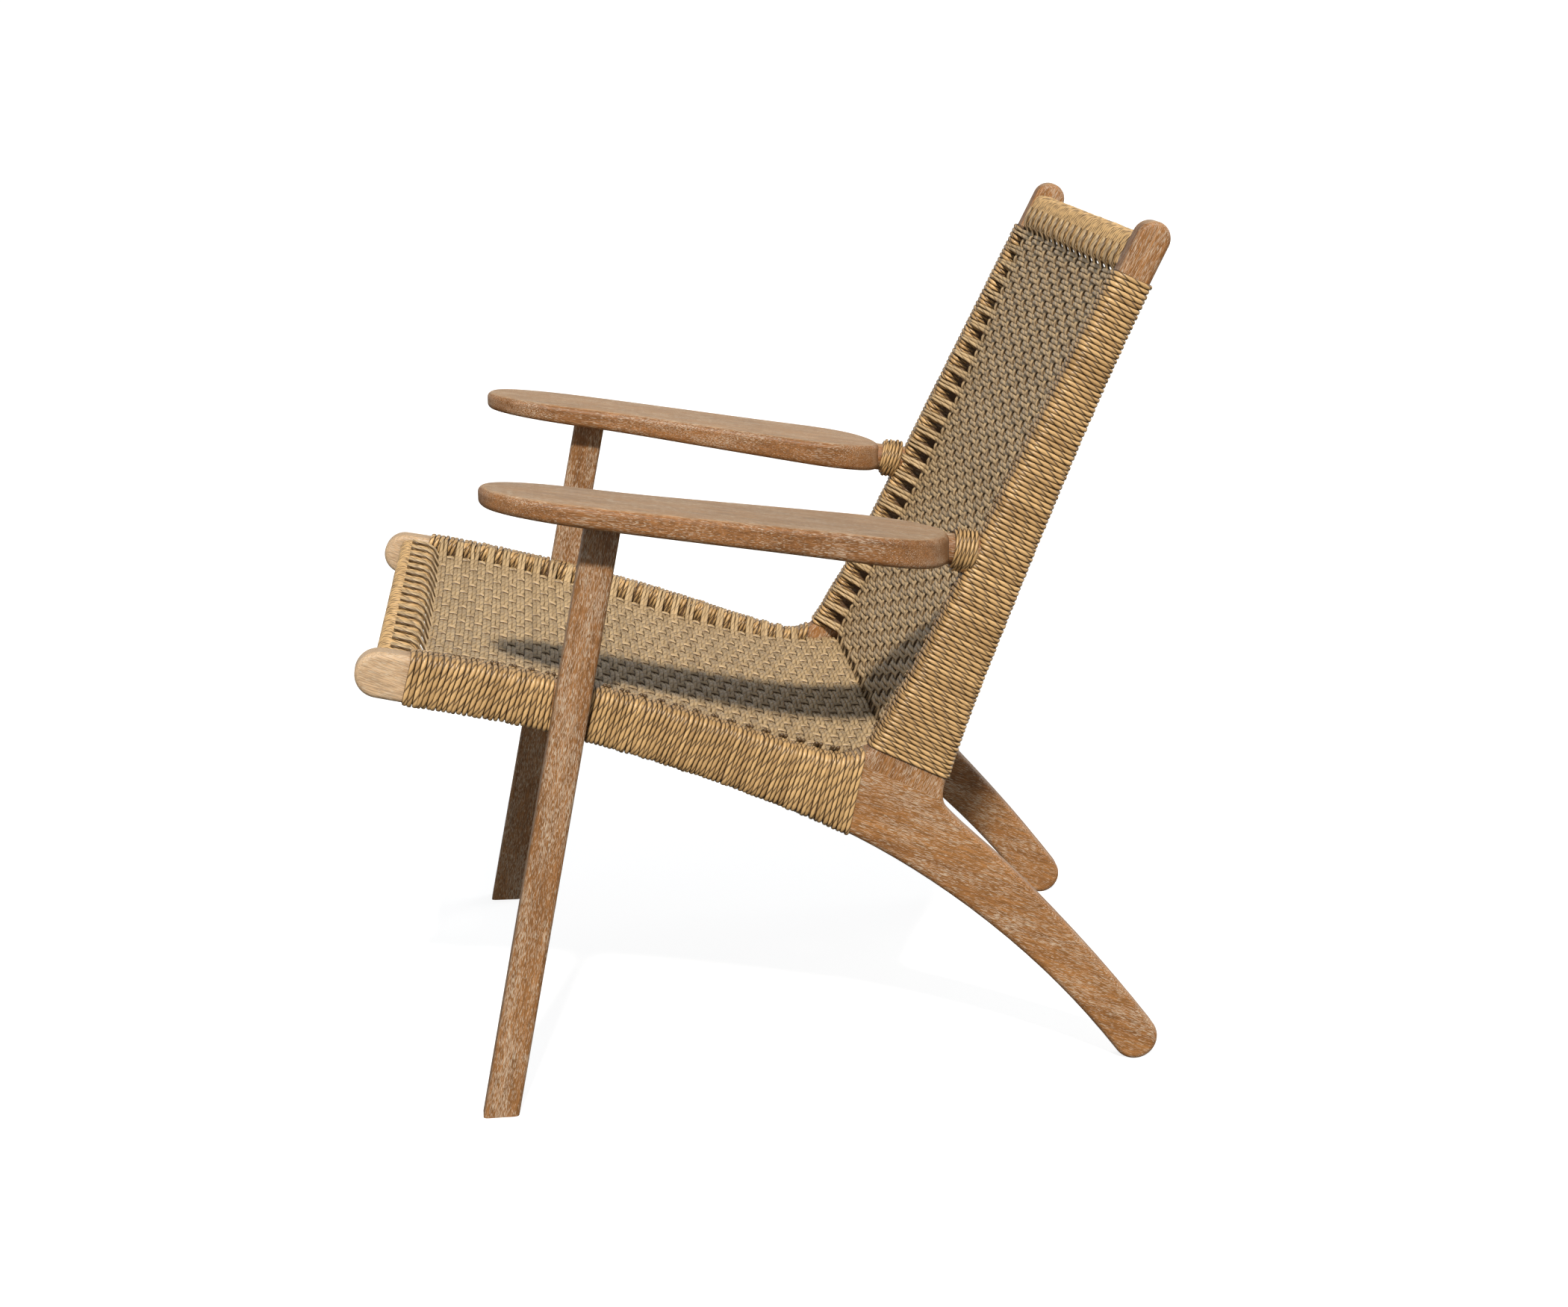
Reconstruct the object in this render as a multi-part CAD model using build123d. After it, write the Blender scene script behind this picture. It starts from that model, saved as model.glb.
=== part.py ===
from build123d import *
from math import atan, cos, degrees, radians, sin, tan
import os

# Low lounge armchair: a wooden frame with a woven paper-cord seat and back.
# Millimetres, +Z up. The chair faces -Y and the sitter's left side is +X.
# Every piece is drawn first with y = 0 at the front tip of the seat rails and
# z = 0 on the floor; build() then moves them all so that the origin is at the
# bottom centre of the whole chair.

# ---------------------------------------------------------------- driving sizes
half_width = 285.0  # outer face of a side frame from the centre plane, at y = 0
taper = 0.0336  # each side frame comes in this much per millimetre towards the back
frame_thick = 25.0  # thickness of the side frames and back posts
edge_round = 5.0  # rounding of the long wooden edges
cord = 3.2  # diameter of the paper cord
taper_angle = degrees(atan(taper))

# back post: straight front face leaning back from the vertical
post_lean = 27.2
post_front = 265.5  # distance of the front face from the origin, square to the face
post_bottom = 460.5  # glue line of the post, measured along its length
post_top = 997.5  # rounded top, measured along its length
post_top_width = 30.5
post_straight = 570.0  # the front face is straight from here to the top
post_wrap_start = 477.5
post_wrap_end = 950.0

# round ends of the side frame: the horn at the front and the rear foot
horn_centre = (20.5, 394.0)
horn_radius = 20.5
horn_top_angle = 80.0
horn_low_angle = 256.0
foot_centre = (688.0, 20.1)
foot_radius = 20.6
foot_upper_angle = 36.4
foot_tip_angle = -50.0
foot_lower_angle = -143.8

# front leg
leg_lean = 11.86  # towards the back, seen from the side
leg_foot_y = 92.3  # front edge of the leg at the floor
leg_width = 30.8
leg_thick = 24.0
leg_round = 4.0
leg_splay_foot = 40.9  # outer face of the leg beyond the side frame, at the floor
leg_splay_top = 18.9  # and at the armrest
leg_splay_height = 515.0

# armrest: a paddle-shaped board that falls towards the back
arm_tip_y = 112.5
arm_slope = 0.155  # fall of the top face per millimetre
arm_tip_top = 558.6  # top face at the tip
arm_tip_thick = 17.0
arm_thick_gain = 0.025  # the board gets this much thicker per millimetre
arm_round = 5.5
neck_diameter = 27.5
neck_start_y = 492.0
neck_axis_z = 481.0  # height of the neck's axis at neck_ref_y
neck_ref_y = 520.0
arm_tenon_diameter = 20.0
arm_tenon_end_y = 568.0
lashing_length = 13.3

# cross rails: (width across the chair's side view, height)
front_rail_size = (30.0, 31.0)
rear_rail_size = (24.0, 40.0)
back_rail_size = (22.0, 31.0)
lower_rail_size = (22.0, 28.0)
front_rail_centre = (32.0, 390.0)
rear_rail_centre = (450.0, 258.0)
seat_slope = 15.0  # fall of the seat rails near the front, degrees
rail_round = 6.0
top_rail_along = 963.5
top_rail_depth = 279.0  # middle of the top rail, square to the post's face
lower_rail_along = 478.0
lower_rail_depth = 303.0

# joints
dowel_diameter = 8.0
dowel_length = 36.0
dowel_in_frame = 17.0
post_dowel_diameter = 10.0
post_dowel_length = 56.0
leg_dowel_length = 32.0
leg_tenon_diameter = 14.0
leg_tenon_length = 9.0

# woven panels
# middle of the seat's weave in the side view, and of the back's weave as
# distances square to the post and along it
weave_thick = 7.0
seat_weave_line = [(53.5, 389.5), (235.0, 341.5), (458.0, 290.5)]
back_weave_line = [(283.0, 487.0), (287.5, 690.0), (272.5, 944.0)]

lean = radians(post_lean)
post_along = (sin(lean), cos(lean))
post_square = (cos(lean), -sin(lean))
inner_face = -frame_thick


def post_point(square, along):
    """A side-view point from its distance square to the post and along it."""
    return (
        square * post_square[0] + along * post_along[0],
        square * post_square[1] + along * post_along[1],
    )


# ------------------------------------------------------------------ placing
def to_side(shape):
    """Turns a piece drawn against the side frame's outer face into its place."""
    return Pos(half_width, 0, 0) * Rot(0, 0, taper_angle) * shape


def side_plate(face, x_from, x_to):
    """Extrudes a side-view face between two distances from the frame's outer face."""
    return Pos(x_from, 0, 0) * extrude(Plane.YZ * face, amount=x_to - x_from)


def side_box(points, x_from, x_to):
    return side_plate(make_face(Polyline(*points, close=True)), x_from, x_to)


# ------------------------------------------------------------ side frame and post
def on_circle(centre, radius, angle):
    turn = radians(angle)
    return (centre[0] + radius * cos(turn), centre[1] + radius * sin(turn))


def heading(angle):
    """The direction of travel along a clockwise round end at one of its angles."""
    turn = radians(angle - 90)
    return (cos(turn), sin(turn))


def moved_out(curve, amount):
    """A smooth curve shifted sideways, away from the wood on its right."""
    steps = 24
    points = []
    for step in range(steps + 1):
        along = curve.tangent_at(step / steps)
        outward = Vector(-along.Y, along.X)
        points.append(curve.position_at(step / steps) + outward * amount)
    return Spline(*points, tangents=[curve.tangent_at(0), curve.tangent_at(1)])


def side_outline(grow):
    """Seat rail, rear leg and back post as one smooth side-view outline.

    A positive grow swells the outline all round by that much.
    """
    rail_top_and_crease = [
        on_circle(horn_centre, horn_radius, horn_top_angle),
        (65.0, 406.0),
        (127.0, 391.2),
        (241.0, 358.8),
        (330.0, 328.0),
        (403.0, 301.8),
        (430.0, 298.0),
        (445.0, 304.8),
        post_point(260.6, 500.0),
        post_point(post_front, post_straight),
    ]
    top_radius = post_top_width / 2
    post_rear = post_front + post_top_width
    round_start = post_top - top_radius
    post_back_and_leg = [
        post_point(post_rear, round_start),
        post_point(post_rear, 955.0),
        post_point(305.2, 750.0),
        post_point(315.6, 620.0),
        post_point(328.5, 500.0),
        post_point(332.5, 477.0),
        post_point(339.0, post_bottom),
        (522.0, 239.3),
        (560.0, 201.9),
        (620.0, 137.4),
        (660.0, 90.0),
        on_circle(foot_centre, foot_radius, foot_upper_angle),
    ]
    underside = [
        on_circle(foot_centre, foot_radius, foot_lower_angle),
        (645.0, 42.0),
        (600.0, 92.6),
        (546.0, 143.5),
        (428.0, 228.0),
        (330.0, 276.3),
        (229.0, 316.6),
        (110.0, 352.9),
        on_circle(horn_centre, horn_radius, horn_low_angle),
    ]
    up, down = post_along, (-post_along[0], -post_along[1])
    horn_headings = heading(horn_top_angle), heading(horn_low_angle)
    foot_headings = heading(foot_upper_angle), heading(foot_lower_angle)
    rail_top = Spline(*rail_top_and_crease, tangents=[horn_headings[0], up])
    rear = Spline(*post_back_and_leg, tangents=[down, foot_headings[0]])
    under = Spline(*underside, tangents=[foot_headings[1], horn_headings[1]])
    if grow > 0:
        rail_top, rear, under = [moved_out(curve, grow) for curve in (rail_top, rear, under)]

    horn_tip = on_circle(horn_centre, horn_radius + grow, 180)
    foot_tip = on_circle(foot_centre, foot_radius + grow, foot_tip_angle)
    post_tip = post_point(post_front + top_radius, post_top + grow)
    round_front = post_point(post_front - grow, round_start)
    edges = [
        ThreePointArc(under @ 1, horn_tip, rail_top @ 0),
        rail_top,
        Line(rail_top @ 1, round_front),
        ThreePointArc(round_front, post_tip, rear @ 0),
        rear,
        ThreePointArc(rear @ 1, foot_tip, under @ 0),
        under,
    ]
    return make_face(edges)


def rounded_plate(face, x_from, x_to, radius):
    plate = side_plate(face, x_from, x_to)
    rims = plate.faces().sort_by(Axis.X)
    return fillet(rims[0].edges() + rims[-1].edges(), radius)


def seam_region(above):
    """Everything above (or below) the glue line of the post."""
    far = 900.0
    if above:
        spans = (post_bottom, post_bottom + far)
    else:
        spans = (post_bottom - far, post_bottom)
    corners = [
        post_point(-far, spans[0]),
        post_point(far, spans[0]),
        post_point(far, spans[1]),
        post_point(-far, spans[1]),
    ]
    return side_box(corners, -100, 100)


def floor_cut():
    return Pos(0, 400, -50) * Box(2000, 2000, 100)


def leg_edge_y(z):
    """The front edge of the front leg at a height above the floor."""
    return leg_foot_y + z * tan(radians(leg_lean))


def front_leg_bar():
    """The straight front leg: leaning back and splayed outwards."""
    height = 640.0
    splay_angle = degrees(atan((leg_splay_foot - leg_splay_top) / leg_splay_height))
    bar = Pos(0, leg_width / 2, height / 2 - 60) * Box(leg_thick, leg_width, height)
    bar = fillet(bar.edges().filter_by(Axis.Z), leg_round)
    bar = Pos(-leg_thick / 2, 0, 0) * bar
    bar = Rot(-leg_lean, 0, 0) * bar
    bar = Rot(0, -splay_angle, 0) * bar
    return Pos(leg_splay_foot, leg_foot_y, 0) * bar


# ------------------------------------------------------------------ armrest
def arm_top(y):
    return arm_tip_top - arm_slope * (y - arm_tip_y)


def arm_bottom(y):
    return arm_top(y) - arm_tip_thick - arm_thick_gain * (y - arm_tip_y)


def armrest_board():
    """The paddle: its plan outline cut to its sloping top and bottom faces."""
    rim = [
        (14.0, arm_tip_y),
        (45.0, 126.0),
        (62.0, 160.0),
        (67.0, 230.0),
        (62.0, 320.0),
        (56.5, 420.0),
        (45.0, 488.0),
        (10.0, 515.0),
        (-33.0, 515.0),
        (-57.0, 482.0),
        (-58.0, 420.0),
        (-46.0, 330.0),
        (-35.0, 230.0),
        (-32.0, 160.0),
        (-16.0, 126.0),
    ]
    plan = make_face(Spline(*rim, periodic=True))
    blank = Pos(0, 0, 400) * extrude(plan, amount=250)
    ends = (arm_tip_y - 10, 560.0)
    corners = [
        (ends[0], arm_top(ends[0])),
        (ends[1], arm_top(ends[1])),
        (ends[1], arm_bottom(ends[1])),
        (ends[0], arm_bottom(ends[0])),
    ]
    board = blank & side_box(corners, -150, 150)
    faces = board.faces().sort_by(Axis.Z)
    return fillet(faces[0].edges() + faces[-1].edges(), arm_round)


def neck_plane(y):
    """The plane square to the neck's axis at a distance from the front."""
    z = neck_axis_z - arm_slope * (y - neck_ref_y)
    return Plane(
        origin=(inner_face / 2, y, z), x_dir=(1, 0, 0), z_dir=(0, 1, -arm_slope)
    )


def neck_rod(diameter, y_from, y_to):
    length = (y_to - y_from) * (1 + arm_slope**2) ** 0.5
    return extrude(neck_plane(y_from) * Circle(diameter / 2), amount=length)


# ------------------------------------------------------------------ cross rails
def between_frames(clearance):
    """The space between the two side frames, short of each by a clearance."""
    y_far = 900.0
    reach = half_width - frame_thick / cos(radians(taper_angle)) - clearance
    near, far = reach + 100 * taper, reach - y_far * taper
    plan = make_face(
        Polyline((-near, -100), (near, -100), (far, y_far), (-far, y_far), close=True)
    )
    return extrude(plan, amount=1000)


def cross_bar(centre, size, turn, grow):
    """A bar across the chair with rounded long edges, cut to the side frames."""
    section = RectangleRounded(size[0] + 2 * grow, size[1] + 2 * grow, rail_round + grow)
    place = Plane.YZ * Pos(centre[0], centre[1]) * Rot(0, 0, turn)
    bar = Pos(-half_width, 0, 0) * extrude(place * section, amount=2 * half_width)
    return bar & between_frames(0)


# centre in the side view, section, turn and distance between the dowels
rails = {
    "front_seat_rail": (front_rail_centre, front_rail_size, -seat_slope, 15.0),
    "rear_seat_rail": (rear_rail_centre, rear_rail_size, -seat_slope, 16.0),
    "back_top_rail": (
        post_point(top_rail_depth, top_rail_along),
        back_rail_size,
        -post_lean,
        15.0,
    ),
    "back_lower_rail": (
        post_point(lower_rail_depth, lower_rail_along),
        lower_rail_size,
        -post_lean,
        14.0,
    ),
}


def rail_dowels(centre, spread, turn):
    """Two dowels at each end of a cross rail, one above the other."""
    angle = radians(turn)
    start = inner_face + dowel_in_frame
    pegs = []
    for side in (-1, 1):
        y = centre[0] - side * spread / 2 * sin(angle)
        z = centre[1] + side * spread / 2 * cos(angle)
        rod = Cylinder(dowel_diameter / 2, dowel_length, rotation=(0, 90, 0))
        peg = to_side(Pos(start - dowel_length / 2, y, z) * rod)
        pegs += [peg, mirror(peg, about=Plane.YZ)]
    return pegs


def post_dowels():
    """Two dowels across the glue line between the side frame and the post."""
    pegs = []
    for square in (270.0, 314.0):
        y, z = post_point(square, post_bottom)
        rod = Cylinder(post_dowel_diameter / 2, post_dowel_length)
        pegs.append(Pos(inner_face / 2, y, z) * Rot(-post_lean, 0, 0) * rod)
    return pegs


def leg_dowels():
    """Two dowels that hold the front leg to the side of the seat rail."""
    pegs = []
    for z in (344.0, 365.0):
        rod = Cylinder(dowel_diameter / 2, leg_dowel_length, rotation=(0, 90, 0))
        pegs.append(Pos(0, leg_edge_y(z) + leg_width / 2, z) * rod)
    return pegs


# ------------------------------------------------------------------ cord pieces
def wrapped_plate():
    """The side frame and post swollen all round by one cord."""
    return rounded_plate(side_outline(cord), inner_face - cord, cord, edge_round + cord)


def wrap_regions():
    """Blocks round the rail before the leg, behind it, and round the post."""
    ahead = -0.1
    behind = leg_width / cos(radians(leg_lean)) + 0.1
    front = [
        (50.5, 425.0),
        (leg_edge_y(425) + ahead, 425.0),
        (leg_edge_y(320) + ahead, 320.0),
        (25.0, 320.0),
        (35.0, 369.0),
    ]
    rear = [
        (leg_edge_y(425) + behind, 425.0),
        (400.0, 335.0),
        post_point(254.0, 475.5),
        (442.0, 286.4),
        (439.8, 266.0),
        (434.2, 245.7),
        (426.5, 226.0),
        (420.0, 205.0),
        (leg_edge_y(300) + behind, 300.0),
    ]
    post = [
        post_point(230.0, post_wrap_start),
        post_point(350.0, post_wrap_start),
        post_point(350.0, post_wrap_end),
        post_point(230.0, post_wrap_end),
    ]
    return [side_box(points, -half_width, half_width) for points in (front, rear, post)]


def woven_slab(middle, square):
    """A woven panel between the wound frames, as a thin slab curved in the side view.

    middle has three side-view points, and square points to the panel's outer side.
    """
    half = weave_thick / 2
    out = [(y + square[0] * half, z + square[1] * half) for y, z in middle]
    back = [(y - square[0] * half, z - square[1] * half) for y, z in middle]
    face = make_face(
        [
            ThreePointArc(*out),
            Line(out[2], back[2]),
            ThreePointArc(back[2], back[1], back[0]),
            Line(back[0], out[0]),
        ]
    )
    slab = Pos(-half_width, 0, 0) * extrude(Plane.YZ * face, amount=2 * half_width)
    return slab & between_frames(cord + 0.3)


def seat_panel():
    """The woven seat, which joins the side rails at the middle of their height."""
    return woven_slab(seat_weave_line, (0.0, 1.0))


def back_panel():
    """The woven back, which joins the posts halfway through their depth."""
    middle = [post_point(square, along) for square, along in back_weave_line]
    return woven_slab(middle, post_square)


# ------------------------------------------------------------------ assembly
def before_post(square_from, square_to):
    """A block between two distances square to the post's front face."""
    corners = [
        post_point(square_from, 0.0),
        post_point(square_to, 0.0),
        post_point(square_to, post_top),
        post_point(square_from, post_top),
    ]
    return side_box(corners, -half_width, half_width)


def build_arm():
    """The armrest's board, neck and tenon, and the cord lashed round its neck."""
    board = armrest_board()
    neck_end_y = 575.0
    neck = neck_rod(neck_diameter, neck_start_y, neck_end_y)
    neck = neck & before_post(0.0, post_front)
    tenon = neck_rod(arm_tenon_diameter, neck_start_y + 10, arm_tenon_end_y)
    ring = neck_rod(neck_diameter + 2 * cord, neck_start_y, neck_end_y)
    ring_end = post_front - cord
    ring = ring & before_post(ring_end - lashing_length, ring_end)
    return board, neck, tenon, ring - neck - board


def build_leg():
    """The front leg cut level with the armrest's underside, and its top tenon."""
    behind, high = 400.0, 300.0
    above_arm = side_box(
        [
            (0, arm_bottom(0)),
            (behind, arm_bottom(behind)),
            (behind, arm_bottom(behind) + high),
            (0, arm_bottom(0) + high),
        ],
        -half_width,
        half_width,
    )
    leg = front_leg_bar() - floor_cut() - above_arm
    axis_y = leg_edge_y(leg_splay_height) + leg_width / 2
    axis = Pos(leg_splay_top - leg_thick / 2, axis_y, arm_bottom(axis_y))
    tenon = Cylinder(leg_tenon_diameter / 2, 2 * leg_tenon_length)
    tenon = axis * Rot(-leg_lean, 0, 0) * tenon
    return leg + tenon, tenon


def build_side_pieces():
    """All pieces of the sitter's left side, drawn against its outer face."""
    whole = rounded_plate(side_outline(0), inner_face, 0, edge_round) - floor_cut()
    frame = whole & seam_region(False)
    post = whole & seam_region(True)
    leg, leg_tenon = build_leg()
    board, neck, tenon, lashing = build_arm()
    arm = board + neck + tenon - leg_tenon

    leg_pegs = leg_dowels()
    post_pegs = post_dowels()
    frame = frame - leg
    for peg in leg_pegs:
        frame = frame - peg
        leg = leg - peg
    for peg in post_pegs:
        frame = frame - peg
        post = post - peg
    post = post - tenon

    swollen = wrapped_plate()
    front_region, rear_region, post_region = wrap_regions()
    rail_front = swollen & front_region - whole
    rail_rear = swollen & rear_region - whole - leg
    post_skin = swollen & post_region - whole - neck - tenon

    return {
        "side_frame": frame,
        "back_post": post,
        "front_leg": leg,
        "armrest": arm,
        "leg_dowels": Compound(leg_pegs),
        "post_dowels": Compound(post_pegs),
        "rail_wrap_front": rail_front,
        "rail_wrap_rear": rail_rear,
        "post_wrap": post_skin,
        "arm_lashing": lashing,
    }


def build():
    pieces = {}
    side = {name: to_side(piece) for name, piece in build_side_pieces().items()}

    for name, (centre, size, turn, spread) in rails.items():
        bar = cross_bar(centre, size, turn, 0)
        envelope = cross_bar(centre, size, turn, cord)
        pieces[name + "_wrap"] = envelope - bar
        owner = "back_post" if name.startswith("back") else "side_frame"
        pegs = rail_dowels(centre, spread, turn)
        for peg in pegs:
            bar = bar - peg
            side[owner] = side[owner] - peg
        for wrap in ("rail_wrap_front", "rail_wrap_rear", "post_wrap"):
            side[wrap] = side[wrap] - envelope
        pieces[name] = bar
        pieces[name + "_dowels"] = Compound(pegs)

    for name, piece in side.items():
        pieces[name + "_left"] = piece
        pieces[name + "_right"] = mirror(piece, about=Plane.YZ)

    pieces["seat_weave"] = seat_panel()
    pieces["back_weave"] = back_panel()
    boxes = [piece.bounding_box() for piece in pieces.values()]
    front = min(box.min.Y for box in boxes)
    back = max(box.max.Y for box in boxes)
    centre = Pos(0, -(front + back) / 2, 0)
    return {name: centre * piece for name, piece in pieces.items()}


nodes = build()
os.makedirs("parts", exist_ok=True)
for name, piece in nodes.items():
    solids = piece.solids()
    whole_piece = Compound(solids) if len(solids) > 1 else solids[0]
    export_step(whole_piece, f"parts/{name}.step")
    box = piece.bounding_box()
    print(f"{name}: {len(solids)} solids, {box.min} to {box.max}")
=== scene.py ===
import math

import bpy
import numpy as np
from mathutils import Matrix, Vector


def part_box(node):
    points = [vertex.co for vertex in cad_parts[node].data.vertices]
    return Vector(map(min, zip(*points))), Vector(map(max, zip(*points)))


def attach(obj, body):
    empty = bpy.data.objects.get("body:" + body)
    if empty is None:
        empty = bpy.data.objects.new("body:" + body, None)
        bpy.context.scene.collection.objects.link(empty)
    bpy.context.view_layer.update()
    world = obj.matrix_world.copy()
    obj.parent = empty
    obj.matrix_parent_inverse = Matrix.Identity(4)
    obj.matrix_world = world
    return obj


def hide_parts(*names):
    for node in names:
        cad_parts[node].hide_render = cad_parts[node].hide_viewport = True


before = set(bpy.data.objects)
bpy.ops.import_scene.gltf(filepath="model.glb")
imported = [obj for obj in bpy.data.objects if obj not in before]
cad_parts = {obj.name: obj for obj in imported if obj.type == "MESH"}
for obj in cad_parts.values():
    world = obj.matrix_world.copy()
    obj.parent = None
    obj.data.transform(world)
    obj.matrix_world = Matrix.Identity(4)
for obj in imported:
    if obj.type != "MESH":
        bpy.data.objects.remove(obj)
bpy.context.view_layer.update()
rng = np.random.default_rng(7)

# ------------------------------------------------------------ driving sizes (metres)
# Side-view positions below are given like the CAD's: y back from the horn's tip,
# z up from the floor. FRONT_SHIFT then brings y into the row's frame.
FRONT_SHIFT = 0.356348
HALF_WIDTH = 0.285
TAPER = math.atan(0.0336)
FRAME_THICK = 0.025
POST_LEAN = math.radians(27.2)
CORD = 0.0032
CORD_LAY = 0.025  # length of one full turn of the two strands in a cord
LAY_SCATTER = 0.09  # how much the lay shifts from cord to cord, in turns
MM = 0.001


def side_point(x, y, z):
    """A point given from the left side frame's outer face, in the row's frame."""
    return np.array(
        [
            HALF_WIDTH + x * math.cos(TAPER) - y * math.sin(TAPER),
            x * math.sin(TAPER) + y * math.cos(TAPER) - FRONT_SHIFT,
            z,
        ]
    )


def side_vector(x, y, z):
    return side_point(x, y, z) - side_point(0, 0, 0)


def post_yz(square, along):
    """Side-view y and z of a point square to the post's face and along the post."""
    return (
        square * math.cos(POST_LEAN) + along * math.sin(POST_LEAN),
        -square * math.sin(POST_LEAN) + along * math.cos(POST_LEAN),
    )


def unit(v):
    v = np.asarray(v, float)
    return v / np.maximum(np.linalg.norm(v, axis=-1, keepdims=True), 1e-12)


# ------------------------------------------------------------------- cord meshes
class CordMesh:
    """Many cords gathered into one mesh, each a tube with its own length and tone."""

    def __init__(self, sides):
        self.sides = sides
        self.points, self.quads, self.caps = [], [], []
        self.uvs, self.cap_uvs, self.tones = [], [], []
        self.count = 0
        self.lay_start = 0.0

    def add(self, path, normals, width, height, tone):
        """path and normals are (n, 3); tone is one number or one per point."""
        sides = self.sides
        n = len(path)
        tangent = unit(np.gradient(path, axis=0))
        across = unit(np.cross(tangent, normals))
        up = np.cross(across, tangent)
        angle = np.arange(sides) * 2 * math.pi / sides
        width = np.broadcast_to(width, n)[:, None, None]
        height = np.broadcast_to(height, n)[:, None, None]
        ring = (
            path[:, None, :]
            + across[:, None, :] * (width / 2) * np.cos(angle)[None, :, None]
            + up[:, None, :] * (height / 2) * np.sin(angle)[None, :, None]
        )
        base = self.count
        self.points.append(ring.reshape(-1, 3))
        i, j = np.meshgrid(np.arange(n - 1), np.arange(sides), indexing="ij")
        k = (j + 1) % sides
        a, b = base + i * sides + j, base + i * sides + k
        self.quads.append(np.stack([a, b, b + sides, a + sides], -1).reshape(-1, 4))
        step = np.linalg.norm(np.diff(path, axis=0), axis=1)
        self.lay_start += rng.normal(0, LAY_SCATTER) * CORD_LAY
        along = np.concatenate([[0.0], np.cumsum(step)]) + self.lay_start
        v0, v1 = j / sides, (j + 1) / sides
        u0, u1 = along[i], along[i + 1]
        self.uvs.append(np.stack([u0, v0, u0, v1, u1, v1, u1, v0], -1).reshape(-1, 2))
        tones = np.broadcast_to(np.asarray(tone, float), n)
        self.tones.append(np.repeat(tones, sides))
        last = base + (n - 1) * sides
        self.caps.append(list(range(base, base + sides))[::-1])
        self.caps.append(list(range(last, last + sides)))
        for u in (along[0], along[-1]):
            self.cap_uvs.append(np.tile([u, 0.0], (sides, 1)))
        self.count += n * sides

    def build(self, name, material):
        points = np.concatenate(self.points)
        quads = np.concatenate(self.quads)[:, ::-1]
        caps = np.array(self.caps)[:, ::-1]
        uvs = np.concatenate([u.reshape(-1, 4, 2)[:, ::-1].reshape(-1, 2) for u in self.uvs])
        uvs = np.concatenate([uvs] + self.cap_uvs)
        sizes = np.concatenate([np.full(len(quads), 4), np.full(len(caps), self.sides)])
        starts = np.concatenate([[0], np.cumsum(sizes)[:-1]])
        loops = np.concatenate([quads.ravel(), caps.ravel()])
        mesh = bpy.data.meshes.new(name)
        mesh.vertices.add(len(points))
        mesh.vertices.foreach_set("co", points.ravel())
        mesh.loops.add(len(loops))
        mesh.loops.foreach_set("vertex_index", loops)
        mesh.polygons.add(len(sizes))
        mesh.polygons.foreach_set("loop_start", starts)
        mesh.polygons.foreach_set("use_smooth", np.ones(len(sizes), bool))
        layer = mesh.uv_layers.new(name="CordUV")
        layer.data.foreach_set("uv", uvs.ravel())
        tone = mesh.attributes.new("tone", "FLOAT", "POINT")
        tone.data.foreach_set("value", np.concatenate(self.tones))
        mesh.update(calc_edges=True)
        mesh.validate()
        obj = bpy.data.objects.new(name, mesh)
        bpy.context.scene.collection.objects.link(obj)
        mesh.materials.append(material)
        return obj


# --------------------------------------------------------- rings cut from the frame
def mesh_arrays(names):
    """Vertices and edge ends of some CAD nodes, together."""
    points, edges, base = [], [], 0
    for name in names:
        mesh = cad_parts[name].data
        co = np.empty(len(mesh.vertices) * 3)
        mesh.vertices.foreach_get("co", co)
        ends = np.empty(len(mesh.edges) * 2, np.int64)
        mesh.edges.foreach_get("vertices", ends)
        points.append(co.reshape(-1, 3))
        edges.append(ends.reshape(-1, 2) + base)
        base += len(mesh.vertices)
    return np.concatenate(points), np.concatenate(edges)


def hull(points):
    """Counter-clockwise convex hull of (n, 2) points."""
    order = points[np.lexsort((points[:, 1], points[:, 0]))]

    def chain(rows):
        out = []
        for p in rows:
            while len(out) > 1:
                a, b = out[-2], out[-1]
                turn = (b[0] - a[0]) * (p[1] - a[1]) - (b[1] - a[1]) * (p[0] - a[0])
                if turn > 1e-12:
                    break
                out.pop()
            out.append(p)
        return out

    lower, upper = chain(order), chain(order[::-1])
    return np.array(lower[:-1] + upper[:-1])


LOOP_POINTS = 240


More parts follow.
